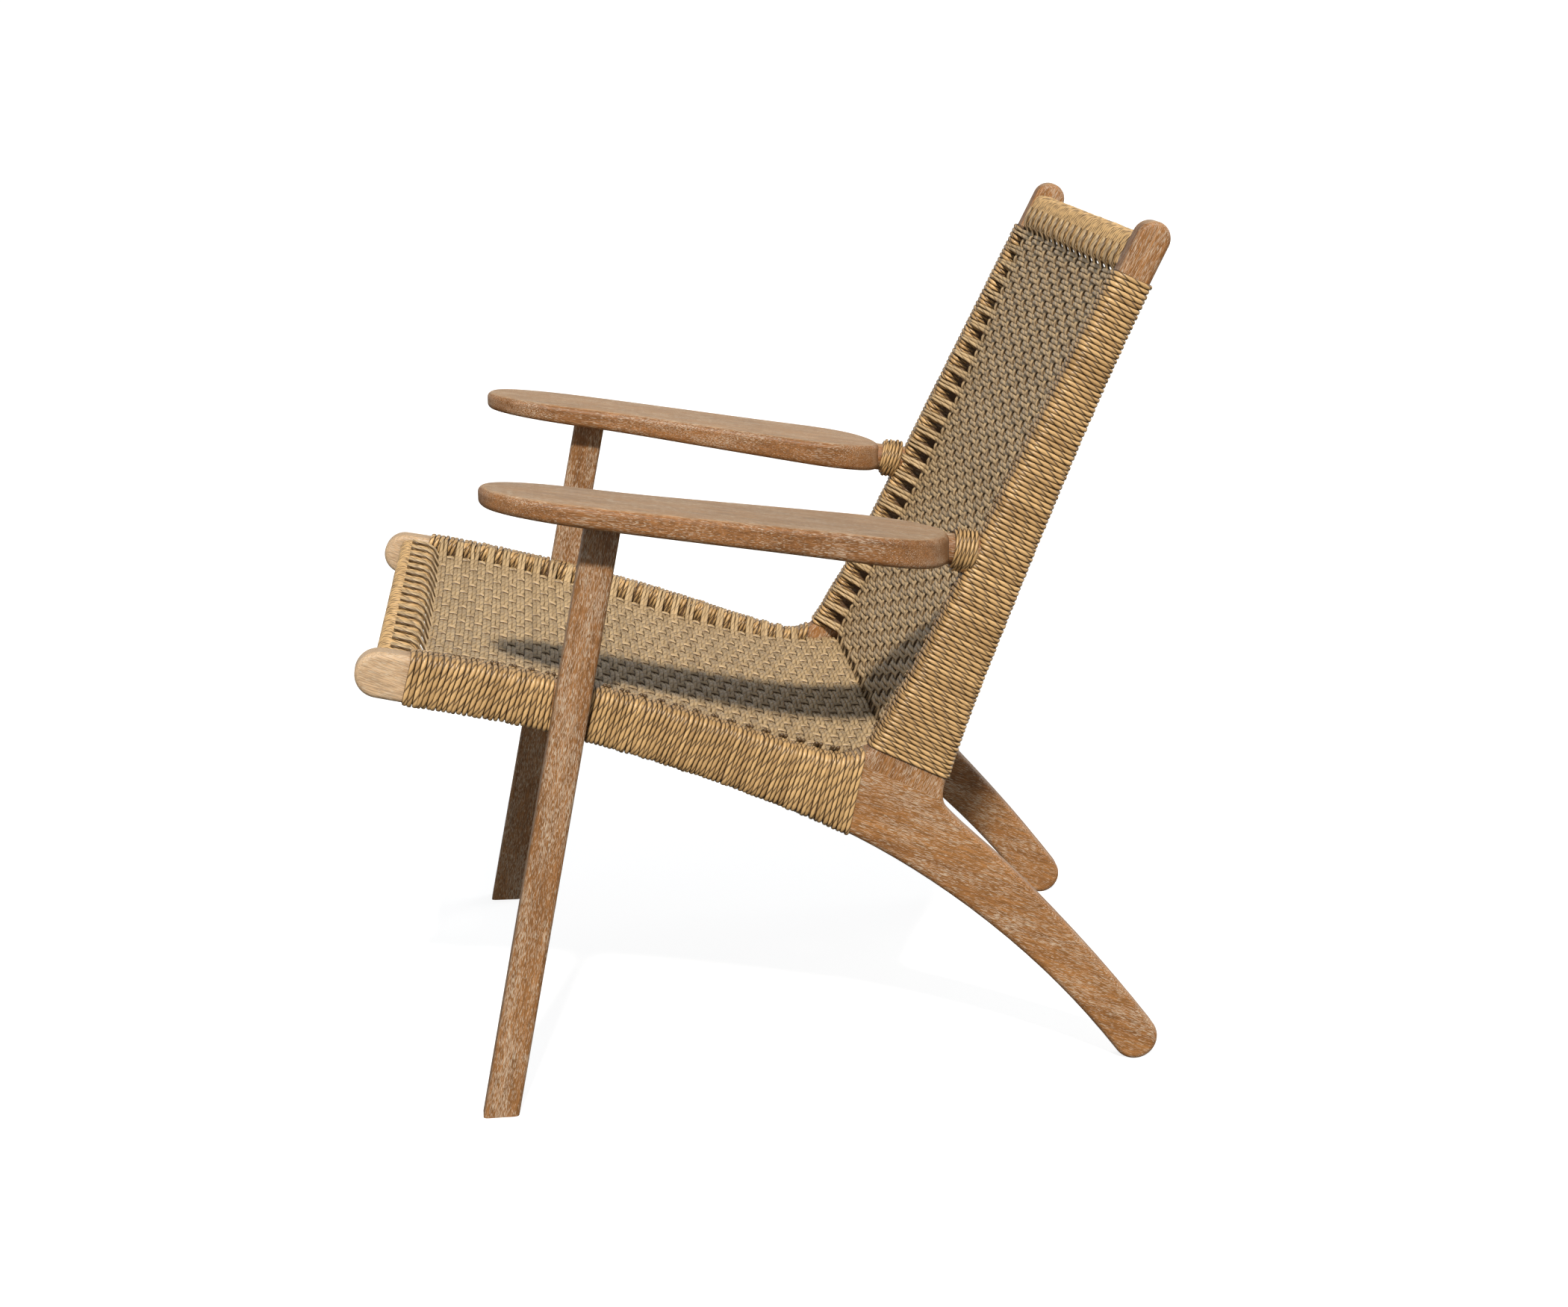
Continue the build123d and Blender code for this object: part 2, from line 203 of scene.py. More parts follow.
def cut_loop(arrays, centre, normal, first, near, lift):
    """A taut loop round the wood where a plane cuts it, standing off it by lift.

    Only wood nearer to centre than near counts. The loop starts at the corner
    furthest along first. Returns points and outward directions, closed, with the
    last the same as the first.
    """
    points, edges = arrays
    normal = unit(normal)
    depth = (points - centre) @ normal
    a, b = edges[:, 0], edges[:, 1]
    crossing = (depth[a] > 0) != (depth[b] > 0)
    a, b = a[crossing], b[crossing]
    t = depth[a] / (depth[a] - depth[b])
    cut = points[a] + (points[b] - points[a]) * t[:, None]
    cut = cut[np.linalg.norm(cut - centre, axis=1) < near]
    e1 = unit(first - (first @ normal) * normal)
    e2 = np.cross(normal, e1)
    loop = hull(np.stack([(cut - centre) @ e1, (cut - centre) @ e2], -1))
    loop = np.roll(loop, -int(loop[:, 0].argmax()), axis=0)
    closed = np.concatenate([loop, loop[:1]])
    length = run_length(closed)
    fine = np.linspace(0, length[-1], LOOP_POINTS + 1)
    line = np.stack([np.interp(fine, length, closed[:, k]) for k in (0, 1)], -1)
    reach = 3
    chord = np.roll(line[:-1], -reach, axis=0) - np.roll(line[:-1], reach, axis=0)
    turn = np.unwrap(np.arctan2(chord[:, 1], chord[:, 0]))
    turn = np.append(turn, turn[0] + 2 * math.pi)
    out = np.stack([np.sin(turn), -np.cos(turn)], -1)
    spot = line + out * lift
    return (
        centre + spot[:, :1] * e1 + spot[:, 1:] * e2,
        out[:, :1] * e1 + out[:, 1:] * e2,
    )


def run_length(points):
    """Length from the start of a path to each of its points."""
    step = np.linalg.norm(np.diff(points, axis=0), axis=1)
    return np.concatenate([[0.0], np.cumsum(step)])


def resample(points, out, count):
    """count + 1 points along a path, closer together where it turns."""
    length = run_length(points)
    bend = np.arccos(np.clip((out[:-1] * out[1:]).sum(-1), -1, 1))
    measure = length / length[-1]
    turned = np.concatenate([[0.0], np.cumsum(bend)])
    measure = (measure + turned / max(turned[-1], 1e-6)) / 2
    want = np.linspace(0, 1, count + 1)
    at = np.interp(want, measure, length)
    path = np.stack([np.interp(at, length, points[:, k]) for k in range(3)], -1)
    side = np.stack([np.interp(at, length, out[:, k]) for k in range(3)], -1)
    return path, unit(side)


SAME_WAY = 0.9  # cosine above which a loop's outward direction counts as a face's


def open_runs(loop, faces, stub):
    """The stretches of a loop left when the middle of each given face is taken out.

    Each stretch keeps a stub of that length on the face.
    """
    points, out = loop[0][:-1], loop[1][:-1]
    size = len(points)
    step = run_length(loop[0])[-1] / size
    kept = np.ones(size, bool)
    for face in faces:
        facing = out @ unit(face) > SAME_WAY
        start = next(i for i in range(size) if facing[i] and not facing[i - 1])
        count = int(facing.sum())
        skip = min(int(stub / step), count // 2 - 1)
        cut = (start + np.arange(skip, count - skip)) % size
        kept[cut] = False
    starts = [i for i in range(size) if kept[i] and not kept[i - 1]]
    runs = []
    for start in starts:
        index = [start]
        while kept[(index[-1] + 1) % size]:
            index.append((index[-1] + 1) % size)
        runs.append((points[index], out[index]))
    runs.sort(key=lambda run: run[0][:, 2].mean())
    return runs


def wind_closed(cords, rings, width, height, tone_middle=0.5, loose=0.0):
    """One cord wound through closed rings in turn, a little unevenly."""
    paths, outs, tones = [], [], []
    tone = tone_middle + rng.uniform(-0.25, 0.25, len(rings))
    for i in range(len(rings) - 1):
        (p0, n0), (p1, n1) = rings[i], rings[i + 1]
        t = (np.arange(len(p0) - 1) / (len(p0) - 1))[:, None]
        lift = rng.normal(0, loose) * np.sin(math.pi * t) ** 2
        out = unit(n0[:-1] * (1 - t) + n1[:-1] * t)
        paths.append(p0[:-1] * (1 - t) + p1[:-1] * t + out * lift)
        outs.append(out)
        tones.append(tone[i] * (1 - t[:, 0]) + tone[i + 1] * t[:, 0])
    cords.add(
        np.concatenate(paths), np.concatenate(outs), width, height, np.concatenate(tones)
    )


OPEN_STEPS = 22  # along each open turn
NARROWEST, WIDEST = CORD * 0.95, CORD * 1.5
TIP_SINK = 0.0016  # how far a cut end dips towards the wood
TIP_STEPS = 3
TIP_THINNING = 0.45


def wind_open(cords, loops, faces, stubs, loose):
    """A cord for each turn, as wide as the pitch allows, open on the given faces."""
    for i in range(len(loops) - 1):
        stub = rng.uniform(*stubs)
        first, second = (open_runs(loop, faces, stub) for loop in loops[i : i + 2])
        if len(first) != len(second):
            continue
        tone = rng.uniform(0.1, 0.9)
        pitch = np.linalg.norm(loops[i + 1][0].mean(0) - loops[i][0].mean(0))
        width = min(max(pitch, NARROWEST), WIDEST)
        for (p0, n0), (p1, n1) in zip(first, second):
            p0, n0 = resample(p0, n0, OPEN_STEPS)
            p1, n1 = resample(p1, n1, OPEN_STEPS)
            t = np.linspace(0, 1, OPEN_STEPS + 1)[:, None]
            out = unit(n0 * (1 - t) + n1 * t)
            path = p0 * (1 - t) + p1 * t
            path = path + out * rng.normal(0, loose) * np.sin(math.pi * t)
            tip = np.clip(1 - np.minimum(t, 1 - t) * OPEN_STEPS / TIP_STEPS, 0, 1) ** 2
            path = path - out * tip * TIP_SINK
            scale = 1 - TIP_THINNING * tip[:, 0]
            cords.add(path, out, width * scale, CORD * scale, tone)


def mirrored(rings):
    """The same rings on the chair's other side."""
    flip = np.array([-1.0, 1.0, 1.0])
    return [(p * flip, n * flip) for p, n in rings]


# ------------------------------------------------------------------- node helpers
class Nodes:
    """Short calls for building a material's node tree."""

    def __init__(self, name):
        self.material = bpy.data.materials.new(name)
        self.material.use_nodes = True
        self.tree = self.material.node_tree
        self.shader = self.tree.nodes["Principled BSDF"]

    def new(self, kind, **values):
        node = self.tree.nodes.new(kind)
        for key, value in values.items():
            if hasattr(node, key):
                setattr(node, key, value)
            else:
                node.inputs[key].default_value = value
        return node

    def link(self, source, target):
        self.tree.links.new(source, target)

    def put(self, socket, value):
        if isinstance(value, bpy.types.NodeSocket):
            self.link(value, socket)
        else:
            socket.default_value = value

    def math(self, operation, a, b=0.0, c=0.0):
        node = self.new("ShaderNodeMath", operation=operation)
        for socket, value in zip(node.inputs, (a, b, c)):
            self.put(socket, value)
        return node.outputs[0]

    def vector(self, x, y, z=0.0):
        node = self.new("ShaderNodeCombineXYZ")
        for socket, value in zip(node.inputs, (x, y, z)):
            self.put(socket, value)
        return node.outputs[0]

    def noise(self, vector, scale, detail=2.0, roughness=0.5, distortion=0.0):
        node = self.new("ShaderNodeTexNoise", Scale=scale, Detail=detail)
        node.inputs["Roughness"].default_value = roughness
        node.inputs["Distortion"].default_value = distortion
        self.link(vector, node.inputs["Vector"])
        return node.outputs["Fac"]

    def mapping(self, vector, rotation=(0, 0, 0), scale=(1, 1, 1), location=(0, 0, 0)):
        node = self.new("ShaderNodeMapping")
        node.inputs["Rotation"].default_value = rotation
        node.inputs["Scale"].default_value = scale
        node.inputs["Location"].default_value = location
        self.link(vector, node.inputs["Vector"])
        return node.outputs[0]

    def ramp(self, value, stops):
        node = self.new("ShaderNodeValToRGB")
        ramp = node.color_ramp
        while len(ramp.elements) < len(stops):
            ramp.elements.new(0.5)
        for element, (place, colour) in zip(ramp.elements, stops):
            element.position = place
            element.color = (*colour, 1.0)
        self.link(value, node.inputs[0])
        return node.outputs["Color"]

    def span(self, value, low, high, out_low=0.0, out_high=1.0):
        node = self.new("ShaderNodeMapRange")
        node.interpolation_type = "SMOOTHSTEP"
        self.put(node.inputs["Value"], value)
        names = ("From Min", "From Max", "To Min", "To Max")
        for key, number in zip(names, (low, high, out_low, out_high)):
            node.inputs[key].default_value = number
        return node.outputs[0]

    def mix(self, factor, a, b, mode="MIX"):
        node = self.new("ShaderNodeMix", data_type="RGBA", blend_type=mode)
        self.put(node.inputs[0], factor)
        for socket, value in ((node.inputs[6], a), (node.inputs[7], b)):
            if isinstance(value, tuple):
                value = (*value, 1.0)
            self.put(socket, value)
        return node.outputs[2]

    def bump(self, height, strength, distance):
        node = self.new("ShaderNodeBump")
        node.inputs["Strength"].default_value = strength
        node.inputs["Distance"].default_value = distance
        self.link(height, node.inputs["Height"])
        return node.outputs[0]


# ---------------------------------------------------------------------- materials
def wood_material(name, grain_turn, light, dark, fleck, wash, seed, worn_front=False):
    """Brown wood with pale filler left in its short, fine pores.

    grain_turn is the rotation, as XYZ angles, that lays the grain along X; wash
    is how much of the pale filler shows. Faces turned up are painted paler: painted
    light for the brighter light and sheen on top, partly pale wear. With worn_front
    the very front of the part is paler too, from wear.
    """
    nodes = Nodes(name)
    coord = nodes.new("ShaderNodeTexCoord").outputs["Object"]
    shift = (seed * 0.37, seed * 0.61, seed * 0.23)
    grain = nodes.mapping(coord, rotation=grain_turn, location=shift)
    broad = nodes.noise(nodes.mapping(grain, scale=(3, 30, 30)), 1.0, 3.0, 0.55, 0.4)
    rings = nodes.noise(nodes.mapping(grain, scale=(5, 190, 190)), 1.0, 3.0, 0.6, 0.3)
    fine = nodes.noise(nodes.mapping(grain, scale=(40, 1600, 1600)), 1.0, 2.0, 0.6)
    tone = nodes.math("MULTIPLY_ADD", rings, 0.5, nodes.math("MULTIPLY", broad, 0.5))
    middle = tuple((a + b) / 2 for a, b in zip(light, dark))
    colour = nodes.ramp(tone, [(0.34, dark), (0.50, middle), (0.66, light)])
    facing = nodes.new("ShaderNodeSeparateXYZ")
    nodes.link(nodes.new("ShaderNodeNewGeometry").outputs["Normal"], facing.inputs[0])
    # painted light: faces turned up are painted paler for the brighter light and sheen on top, partly
    # pale wear
    pale = nodes.math("MULTIPLY", nodes.span(facing.outputs[2], 0.72, 1.0), 0.32)
    if worn_front:
        place = nodes.new("ShaderNodeSeparateXYZ")
        nodes.link(coord, place.inputs[0])
        front = nodes.span(place.outputs[1], -0.322, -0.285, 0.60, 0.0)
        pale = nodes.math("MAXIMUM", pale, front)
    colour = nodes.mix(pale, colour, PALE_LIGHT_AND_WEAR)
    streak = nodes.span(fine, 0.38, 0.62, 0.66, 1.16)
    colour = nodes.mix(1.0, colour, nodes.vector(streak, streak, streak), "MULTIPLY")
    pores = nodes.noise(nodes.mapping(grain, scale=(170, 2600, 2600)), 1.0, 1.0, 0.5)
    patch = nodes.noise(nodes.mapping(grain, scale=(14, 60, 60)), 1.0, 3.0, 0.55)
    limit = nodes.span(patch, 0.34, 0.66, 0.62 - wash, 0.52 - wash)
    filled = nodes.span(nodes.math("SUBTRACT", pores, limit), 0.0, 0.07)
    colour = nodes.mix(nodes.math("MULTIPLY", filled, 0.60), colour, fleck)
    nodes.link(colour, nodes.shader.inputs["Base Color"])
    nodes.link(nodes.span(fine, 0.3, 0.7, 0.45, 0.62), nodes.shader.inputs["Roughness"])
    nodes.shader.inputs["Specular IOR Level"].default_value = 0.35
    height = nodes.math("MULTIPLY_ADD", fine, 0.6, nodes.math("MULTIPLY", pores, 0.4))
    nodes.link(nodes.bump(height, 0.35, 0.0004), nodes.shader.inputs["Normal"])
    return nodes.material


def cord_material(name, light, dark, crease, depth):
    """Two paper strands laid round each other, with a fine lengthwise fibre.

    depth says how dark the painted shade in the crease between the strands is. The
    cord's flanks are painted dark too, as painted shade where it lies against the next.
    """
    nodes = Nodes(name)
    uv = nodes.new("ShaderNodeUVMap", uv_map="CordUV").outputs[0]
    split = nodes.new("ShaderNodeSeparateXYZ")
    nodes.link(uv, split.inputs[0])
    u, v = split.outputs[0], split.outputs[1]
    turn = nodes.math("MULTIPLY_ADD", u, 1 / CORD_LAY, v)
    strand = nodes.math("FRACT", nodes.math("MULTIPLY", turn, 2.0))
    edge = nodes.math("ABSOLUTE", nodes.math("SUBTRACT", strand, 0.5))
    groove = nodes.span(edge, 0.30, 0.47)
    tone = nodes.new("ShaderNodeAttribute", attribute_name="tone").outputs["Fac"]
    lengthwise, around = nodes.math("MULTIPLY", u, 90.0), nodes.math("MULTIPLY", turn, 9.0)
    fibre = nodes.noise(nodes.vector(lengthwise, around, tone), 1.0, 3.0, 0.6)
    coord = nodes.new("ShaderNodeTexCoord").outputs["Object"]
    blotch = nodes.noise(coord, 38.0, 2.0, 0.5)
    shade = nodes.math("MULTIPLY_ADD", tone, 0.55, nodes.math("MULTIPLY", blotch, 0.45))
    colour = nodes.ramp(shade, [(0.25, dark), (0.72, light)])
    dim = nodes.span(fibre, 0.3, 0.7, 0.86, 1.08)
    colour = nodes.mix(1.0, colour, nodes.vector(dim, dim, dim), "MULTIPLY")
    # painted shade: the crease between the two strands is painted dark
    colour = nodes.mix(nodes.math("MULTIPLY", groove, depth), colour, crease)
    # painted shade: the flanks, where a cord lies against the next, are painted dark
    flank = nodes.math("ABSOLUTE", nodes.math("COSINE", nodes.math("MULTIPLY", v, 2 * math.pi)))
    flank_shade = nodes.math("MULTIPLY", nodes.span(flank, 0.78, 1.0), 0.92)
    colour = nodes.mix(flank_shade, colour, crease)
    nodes.link(colour, nodes.shader.inputs["Base Color"])
    nodes.shader.inputs["Roughness"].default_value = 0.42
    nodes.shader.inputs["Specular IOR Level"].default_value = 0.55
    fall = nodes.math("POWER", nodes.math("MULTIPLY", edge, 2.0), 3.0)
    round_strand = nodes.math("SUBTRACT", 1.0, fall)
    height = nodes.math("MULTIPLY_ADD", fibre, 0.12, round_strand)
    nodes.link(nodes.bump(height, 0.8, 0.0007), nodes.shader.inputs["Normal"])
    return nodes.material


X_GRAIN = (0, 0, 0)


def yz_grain(slope_degrees):
    """Grain in a side-view plane, rising towards the back by this many degrees."""
    return (-math.radians(slope_degrees), 0, -math.pi / 2)


BROWN, DEEP = (0.345, 0.158, 0.050), (0.190, 0.078, 0.022)
ARM_BROWN, ARM_DEEP = (0.285, 0.125, 0.041), (0.165, 0.068, 0.020)
LEG_BROWN, LEG_DEEP = (0.300, 0.138, 0.046), (0.155, 0.064, 0.018)
SHADED, SHADED_DEEP = (0.15, 0.080, 0.034), (0.080, 0.038, 0.016)
FILLER = (0.58, 0.49, 0.375)
# pale colour for painted light on faces turned up, and for wear at the very front
PALE_LIGHT_AND_WEAR = (0.64, 0.48, 0.31)
GOLD, GOLD_DEEP = (0.60, 0.385, 0.172), (0.39, 0.236, 0.097)
WEAVE, WEAVE_DEEP = (0.52, 0.372, 0.203), (0.36, 0.247, 0.127)
# painted shade colour, for the cords' creases and flanks
CREASE_SHADE = (0.055, 0.027, 0.010)

frame_wood = wood_material("frame_wood", yz_grain(-22), BROWN, DEEP, FILLER, 0.02, 1, True)
post_wood = wood_material("post_wood", yz_grain(62.8), BROWN, DEEP, FILLER, 0.02, 2)
leg_wood = wood_material("leg_wood", yz_grain(78), LEG_BROWN, LEG_DEEP, FILLER, 0.03, 3)
arm_wood = wood_material("arm_wood", yz_grain(-9), ARM_BROWN, ARM_DEEP, FILLER, 0.0, 4)
# painted shade: the cross rails' wood, and that of other hidden parts, is a dark copy of the frame's
# brown, so it reads as shadow where the windings part
shaded_rail_wood = wood_material("shaded_rail_wood", X_GRAIN, SHADED, SHADED_DEEP, FILLER, -0.06, 5)
# painted shade: a dark copy of the frame's wood, for the skins under the windings that stand for deep
# shadow in the gaps
shade_skin_wood = wood_material("shade_skin_wood", yz_grain(-22), SHADED, SHADED_DEEP, FILLER, -0.06, 6)
cord_gold = cord_material("paper_cord", GOLD, GOLD_DEEP, CREASE_SHADE, 0.85)
cord_weave = cord_material("woven_paper_cord", WEAVE, WEAVE_DEEP, CREASE_SHADE, 0.4)

NODE_WOOD = {
    "side_frame": frame_wood,
    "back_post": post_wood,
    "post_dowels": post_wood,
    "front_leg": leg_wood,
    "armrest": arm_wood,
    "leg_dowels": shaded_rail_wood,
}
for name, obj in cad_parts.items():
    # parts not listed take the painted-shade rail wood
    wood = shaded_rail_wood
    for prefix, material in NODE_WOOD.items():
        if name.startswith(prefix):
            wood = material
    obj.data.materials.clear()
    obj.data.materials.append(wood)


# ------------------------------------------------------------------ wound pieces
def keep(obj, slot, *nodes):
    """Makes a piece part of the chair, in place of the given CAD nodes."""
    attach(obj, "root")
    if nodes:
        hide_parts(*nodes)
    return obj


SLEEVE_ROWS, SLEEVE_POINTS = 12, 48
SLEEVE_LIFT = 0.0003


def sleeve(name, loops):
    """Painted shade: a dark skin just off the wood under the windings, through some loops."""
    rows = loops[:: max(1, len(loops) // SLEEVE_ROWS)]
    if rows[-1] is not loops[-1]:
        rows.append(loops[-1])
    rings = []
    for points, out in rows:
        path, side = resample(points, out, SLEEVE_POINTS)
        rings.append(path[:-1] - side[:-1] * (CORD / 2 - SLEEVE_LIFT))
    size = len(rings[0])
    i, j = np.meshgrid(np.arange(len(rings) - 1), np.arange(size), indexing="ij")
    k = (j + 1) % size
    quads = np.stack([i * size + j, i * size + k, (i + 1) * size + k, (i + 1) * size + j], -1)
    quads = quads.reshape(-1, 4)
    if rings[0][:, 0].mean() < 0:
        quads = quads[:, ::-1]
    mesh = bpy.data.meshes.new(name)
    mesh.from_pydata(np.concatenate(rings).tolist(), [], quads.tolist())
    mesh.polygons.foreach_set("use_smooth", np.ones(len(mesh.polygons), bool))
    mesh.update()
    obj = bpy.data.objects.new(name, mesh)
    bpy.context.scene.collection.objects.link(obj)
    mesh.materials.append(shade_skin_wood)
    return keep(obj, "frame_wood")


INWARD = np.array([-1.0, 0.0, 0.0])
RING_POINTS = 20


def frame_windings(name, node, loops, stubs, faces=(INWARD,), loose=0.0002):
    """Open windings on both sides of the chair, with dark painted-shade skins under them."""
    for side, turns, flip in (("left", loops, 1.0), ("right", mirrored(loops), -1.0)):
        cords = CordMesh(8)
        wind_open(cords, turns, [face * flip for face in faces], stubs, loose)
        nodes = [f"{node}_{side}"] if node else []
        keep(cords.build(f"{name}_{side}", cord_gold), "wound_cord", *nodes)
        sleeve(f"{name}_core_{side}", turns)


# the corner that each loop starts at
inward_low = side_vector(-1, 0.3, -1)
POST_START, POST_STOP = 0.4793, 0.9485
POST_MIDDLE = 0.285  # the post's middle, square to its face
POST_PITCH, POST_PITCH_GROWTH = 0.0042, 0.0004  # growing over the lower half
POST_TILT_SCATTER = 0.7  # degrees
PITCH_SCATTER = 0.00015


def post_loops():
    """Loops up the back post, about square to it."""
    arrays = mesh_arrays(["back_post_left"])
    loops, along = [], POST_START
    while along < POST_STOP:
        share = min(1.0, 2.0 * (along - POST_START) / (POST_STOP - POST_START))
        y, z = post_yz(POST_MIDDLE, along)
        centre = side_point(-FRAME_THICK / 2, y, z)
        tilt = POST_LEAN + math.radians(rng.normal(0, POST_TILT_SCATTER))
        normal = side_vector(0, math.sin(tilt), math.cos(tilt))
        loops.append(cut_loop(arrays, centre, normal, inward_low, near=0.06, lift=CORD / 2))
        along += POST_PITCH + POST_PITCH_GROWTH * share + rng.normal(0, PITCH_SCATTER)
    return loops


PLACE_SCATTER = 0.06  # of a pitch
RAIL_LEAN_SCATTER = 1.2  # degrees


def rail_loops(top, bottom, pitch, bow):
    """Loops between two lines of the side view, given by the y and z of their ends.

    bow is how much more the turns lean in the middle than at the ends.
    """
    arrays = mesh_arrays(["side_frame_left", "back_post_left"])
    top, bottom = np.array(top), np.array(bottom)
    run = (np.linalg.norm(top[1] - top[0]) + np.linalg.norm(bottom[1] - bottom[0])) / 2
    count = int(round(run / pitch))
    loops = []
    for i in range(count + 1):
        t = min(1.0, max(0.0, (i + rng.normal(0, PLACE_SCATTER)) / count))
        high = top[0] * (1 - t) + top[1] * t
        low = bottom[0] * (1 - t) + bottom[1] * t
        line = high - low
        lean = math.atan2(line[0], line[1]) + bow * math.sin(math.pi * t)
        lean += math.radians(rng.normal(0, RAIL_LEAN_SCATTER))
        mid = (high + low) / 2
        centre = side_point(-FRAME_THICK / 2, mid[0], mid[1])
        normal = side_vector(0, math.cos(lean), -math.sin(lean))
        loops.append(cut_loop(arrays, centre, normal, inward_low, near=0.056, lift=CORD / 2))
    return loops


# the ends of the wound stretches in the side view: top line, then bottom line
FRONT_STRETCH = ([(0.0506, 0.4120), (0.1725, 0.3820)], [(0.0385, 0.3690), (0.1612, 0.3330)])
LEG_STRETCH = ([(0.1740, 0.3815), (0.2060, 0.3705)], [(0.1625, 0.3325), (0.1935, 0.3265)])
REAR_STRETCH = ([(0.2072, 0.3700), (0.4420, 0.3040)], [(0.1945, 0.3260), (0.4262, 0.2290)])

FRONT_PITCH, LEG_PITCH, REAR_PITCH = 0.00445, 0.0042, 0.00415
FRONT_BOW, LEG_BOW, REAR_BOW = (math.radians(bow) for bow in (9, 4, 10))
# the shortest and longest stub of a turn left on the inner face
POST_STUBS, RAIL_STUBS = (0.010, 0.015), (0.017, 0.022)
frame_windings("post_cord", "post_wrap", post_loops(), POST_STUBS)
front_loops = rail_loops(*FRONT_STRETCH, FRONT_PITCH, FRONT_BOW)
leg_loops = rail_loops(*LEG_STRETCH, LEG_PITCH, LEG_BOW)
rear_loops = rail_loops(*REAR_STRETCH, REAR_PITCH, REAR_BOW)
frame_windings("front_rail_cord", "rail_wrap_front", front_loops, RAIL_STUBS, loose=0.0003)
frame_windings("leg_rail_cord", None, leg_loops, RAIL_STUBS, faces=(INWARD, -INWARD))
frame_windings("rear_rail_cord", "rail_wrap_rear", rear_loops, RAIL_STUBS, loose=0.0003)


# the neck's axis in the side view: where it is at two points, and how it falls
NECK_SQUARE, NECK_Y = 0.2555, 0.530
NECK_LOW_Y, NECK_LOW_Z, NECK_FALL = 0.520, 0.481, 0.155
NECK_LEAN, NECK_LEAN_SCATTER = 13, 1.5  # degrees


def neck_rings(start, stop, turns, lift):
    """Rings round the arm's neck between two depths square to the post's face."""
    arrays = mesh_arrays(["armrest_left"])
    rings = []
    for square in np.linspace(start, stop, turns + 1):
        y = NECK_Y + (square - NECK_SQUARE) / math.cos(POST_LEAN)
        z = NECK_LOW_Z - NECK_FALL * (y - NECK_LOW_Y)
        centre = side_point(-FRAME_THICK / 2, y, z)
        lean = math.radians(rng.normal(NECK_LEAN, NECK_LEAN_SCATTER))
        normal = side_vector(0, math.cos(lean), -math.sin(lean))
        loop = cut_loop(arrays, centre, normal, inward_low, near=0.03, lift=lift)
        rings.append(resample(*loop, RING_POINTS))
    return rings


under_lashing = neck_rings(0.2480, 0.2665, 6, CORD / 2)
over_lashing = neck_rings(0.2500, 0.2655, 5, CORD * 1.35)
for side, flip in (("left", False), ("right", True)):
    cords = CordMesh(8)
    for rings in (under_lashing, over_lashing):
        wind_closed(cords, mirrored(rings) if flip else rings, CORD, CORD, loose=0.0004)
    keep(cords.build(f"neck_cord_{side}", cord_gold), "wound_cord", f"arm_lashing_{side}")


RAIL_END_ROOM = 0.003
GAP_REACH = 0.008  # how far a gap's parting carries along the rail
SLANT_SCATTER = 0.0005
RAIL_CORD_WIDTH = CORD * 1.12
RAIL_CORD_TONE = 0.85


def cross_rail(node, pitch, sides, gap_at=(), gap_width=0.0, gap_side=(0.0, 0.9, 0.45)):
    """Cord wound along a cross rail, parted on one side where each warp leaves it."""
    low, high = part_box(node)
    centre = np.array([0.0, (low[1] + high[1]) / 2, (low[2] + high[2]) / 2])
    reach = high[0] - RAIL_END_ROOM
    first = np.array([0.0, -1.0, -1.0])
    along = np.array([1.0, 0.0, 0.0])
    loop = cut_loop(mesh_arrays([node]), centre, along, first, near=0.05, lift=CORD / 2)
    ring, out = resample(*loop, RING_POINTS)
    flat = ring * [0, 1, 1]
    pushed = np.clip(out @ unit(gap_side), 0, 1) ** 5
    rings, x = [], -reach
    while x < reach:
        shift = 0.0
        for gap in gap_at:
            away = x - gap
            shift += math.copysign(gap_width / 2, away) * math.exp(-abs(away) / GAP_REACH)
        slant = rng.normal(0, SLANT_SCATTER) * out[:, 2]
        rings.append((flat + along * (x + pushed * shift + slant)[:, None], out))
        x += pitch + rng.normal(0, PITCH_SCATTER)
    cords = CordMesh(sides)
    wind_closed(cords, rings, RAIL_CORD_WIDTH, CORD, RAIL_CORD_TONE, loose=0.0003)
    keep(cords.build(node.replace("rail", "rail_cord"), cord_gold), "wound_cord", node + "_wrap")


# ------------------------------------------------------------------ woven panels
WARPS = 16
EDGE = 0.014  # the outer warps' distance from the wound frames
WEFT_WIDTH, WEFT_HEIGHT = 0.0052, 0.0042
WARP_WIDTH, WARP_HEIGHT = 0.0042, 0.0033
WARP_TWIN = 0.00185  # from the middle of a pair to each of its cords
WARP_STEP, WEFT_STEPS = 0.0017, 8  # metres a step, and steps from warp to warp
WARP_SCATTER, WEFT_SCATTER, END_SCATTER = 0.0001, 0.00015, 0.0004
PINCH = 0.00015  # a weft pair draws together at each warp, and apart between them
PANEL_TONES = (0.3, 1.0)


def smooth(*points):
    """A smooth curve through a few (place, value) points given in millimetres."""
    place, value = np.array(points, float).T * MM
    middle, span = place.mean(), np.ptp(place) / 2
    shape = np.polyfit((place - middle) / span, value, len(points) - 1)
    return lambda at: np.polyval(shape, (np.asarray(at, float) - middle) / span)


def inner_reach(y):
    """Half the clear width between the wound side frames at a side-view y."""
    return HALF_WIDTH - (FRAME_THICK + CORD) / math.cos(TAPER) - y * math.tan(TAPER)


def dish(x, y):
    """1 midway between the side frames and 0 at both."""
    return np.clip(1 - (x / inner_reach(y)) ** 2, 0, 1)


